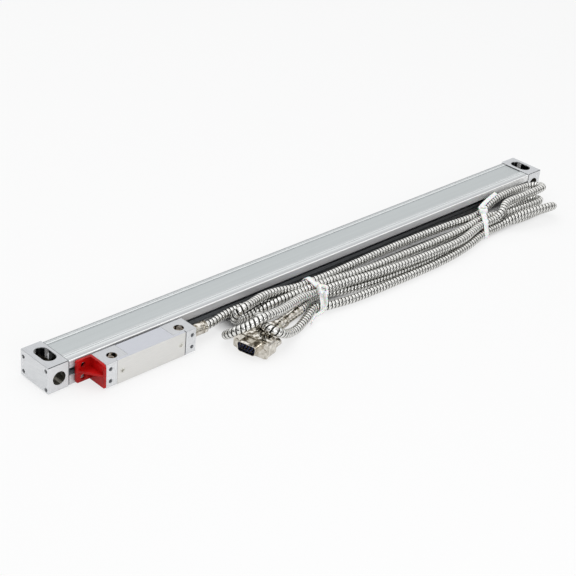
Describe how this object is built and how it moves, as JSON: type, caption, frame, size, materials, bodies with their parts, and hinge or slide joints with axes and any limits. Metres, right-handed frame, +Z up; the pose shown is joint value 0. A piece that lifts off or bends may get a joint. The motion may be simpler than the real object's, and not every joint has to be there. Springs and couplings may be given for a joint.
{
  "type": "linear glass scale",
  "caption": "Enclosed linear glass scale: slim aluminium housing, ruled glass, lip seals, sliding reader head on rollers, and an armoured cable with a D plug.",
  "frame": {"origin": "middle of the housing and reader head, on the surface they stand on", "axes": "+X along the scale towards the end away from the reader head, +Y to the housing's back, +Z up"},
  "size_m": [0.56, 0.0943, 0.0306],
  "materials": {
    "profile_anodised": "satin anodised extrusion",
    "block_machined": "machined and polished",
    "cover_satin": "ground and anodised sheet",
    "seal_rubber": "matt black lip rubber",
    "bond_rubber": "clear elastic bond",
    "float_glass": "polished float glass",
    "track_chrome": "ruled chrome layer",
    "screw_steel": "zinc plated steel",
    "spring_steel": "spring steel",
    "roller_steel": "ground bearing steel",
    "hose_steel": "interlocked stainless strip",
    "nickel_plate": "nickel plate",
    "bracket_red": "moulded red plastic",
    "carriage_black": "glass filled plastic",
    "board_green": "printed circuit board",
    "chip_black": "moulded components",
    "flex_amber": "polyimide film",
    "wire_grey": "PVC insulation",
    "lamp_clear": "clear epoxy",
    "tie_nylon": "natural nylon",
    "insert_navy": "navy moulded insert",
    "contact_brass": "gold flashed contacts"
  },
  "bodies": {
    "scale": {"housing_profile": "profile_anodised", "seal_lip_upper": "seal_rubber", "seal_lip_lower": "seal_rubber", "glass_strip": "float_glass", "glass_bond": "bond_rubber", "ruled_track": "track_chrome", "end_gasket_left": "seal_rubber", "end_gasket_right": "seal_rubber", "end_block_left": "block_machined", "end_block_right": "block_machined", "end_screws_left": "screw_steel", "end_screws_right": "screw_steel"},
    "reader_head": {"head_body": "block_machined", "head_cover": "cover_satin", "cover_screws": "screw_steel", "cover_set_screw": "screw_steel", "signal_board": "board_green", "board_parts": "chip_black", "board_screws": "screw_steel", "coupling_blade": "spring_steel", "blade_screws": "screw_steel", "coupling_link": "spring_steel", "signal_flex": "flex_amber", "signal_wires": "wire_grey", "gland_collar": "nickel_plate", "gland_sleeve": "nickel_plate", "transport_bracket": "bracket_red", "scanning_carriage": "carriage_black", "face_axles": "spring_steel", "edge_axles": "spring_steel", "scanning_reticle": "float_glass", "sensor_board": "board_green", "scan_lamp": "lamp_clear", "cable_lead": "hose_steel", "cable_rear_loop": "hose_steel", "cable_front_loop": "hose_steel", "cable_tail": "hose_steel", "cable_hank": "hose_steel", "tie_band_left": "tie_nylon", "tie_band_right": "tie_nylon", "tie_lock_left": "tie_nylon", "tie_lock_right": "tie_nylon", "plug_shell": "nickel_plate", "plug_insert": "insert_navy", "plug_pins": "contact_brass", "plug_hood_upper": "nickel_plate", "plug_hood_lower": "nickel_plate", "hood_screws": "screw_steel", "plug_clamp": "nickel_plate", "plug_ferrule": "nickel_plate"},
    "face_roller_1_body": {"face_roller_1": "roller_steel"},
    "face_roller_2_body": {"face_roller_2": "roller_steel"},
    "edge_roller_1_body": {"edge_roller_1": "roller_steel"},
    "edge_roller_2_body": {"edge_roller_2": "roller_steel"},
    "jack_screw_left_body": {"jack_screw_left": "nickel_plate"},
    "jack_screw_right_body": {"jack_screw_right": "nickel_plate"}
  },
  "joints": [
    {"name": "head_slide", "type": "slide", "parent": "scale", "child": "reader_head", "axis": [1, 0, 0], "range_m": [-0.003, 0.4]},
    {"name": "face_roller_1_spin", "type": "hinge", "parent": "reader_head", "child": "face_roller_1_body", "pos_m": [-0.21935, 0.00955, 0.01502], "axis": [0, 1, 0], "continuous": true},
    {"name": "edge_roller_1_spin", "type": "hinge", "parent": "reader_head", "child": "edge_roller_1_body", "pos_m": [-0.21335, 0.00318, 0.0107], "axis": [0, 0, 1], "continuous": true},
    {"name": "face_roller_2_spin", "type": "hinge", "parent": "reader_head", "child": "face_roller_2_body", "pos_m": [-0.18535, 0.00955, 0.01502], "axis": [0, 1, 0], "continuous": true},
    {"name": "edge_roller_2_spin", "type": "hinge", "parent": "reader_head", "child": "edge_roller_2_body", "pos_m": [-0.19135, 0.00318, 0.0107], "axis": [0, 0, 1], "continuous": true},
    {"name": "jack_screw_left_turn", "type": "hinge", "parent": "reader_head", "child": "jack_screw_left_body", "pos_m": [-0.12849, -0.06567, 0.0075], "axis": [0.9744, 0.225, 0], "continuous": true},
    {"name": "jack_screw_right_turn", "type": "hinge", "parent": "reader_head", "child": "jack_screw_right_body", "pos_m": [-0.13411, -0.04133, 0.0075], "axis": [0.9744, 0.225, 0], "continuous": true}
  ],
  "couplings": [
    {"joint": "face_roller_1_spin", "follows": "head_slide", "rad_per_m": 333.33},
    {"joint": "edge_roller_1_spin", "follows": "head_slide", "rad_per_m": 333.33},
    {"joint": "face_roller_2_spin", "follows": "head_slide", "rad_per_m": 333.33},
    {"joint": "edge_roller_2_spin", "follows": "head_slide", "rad_per_m": 333.33}
  ]
}
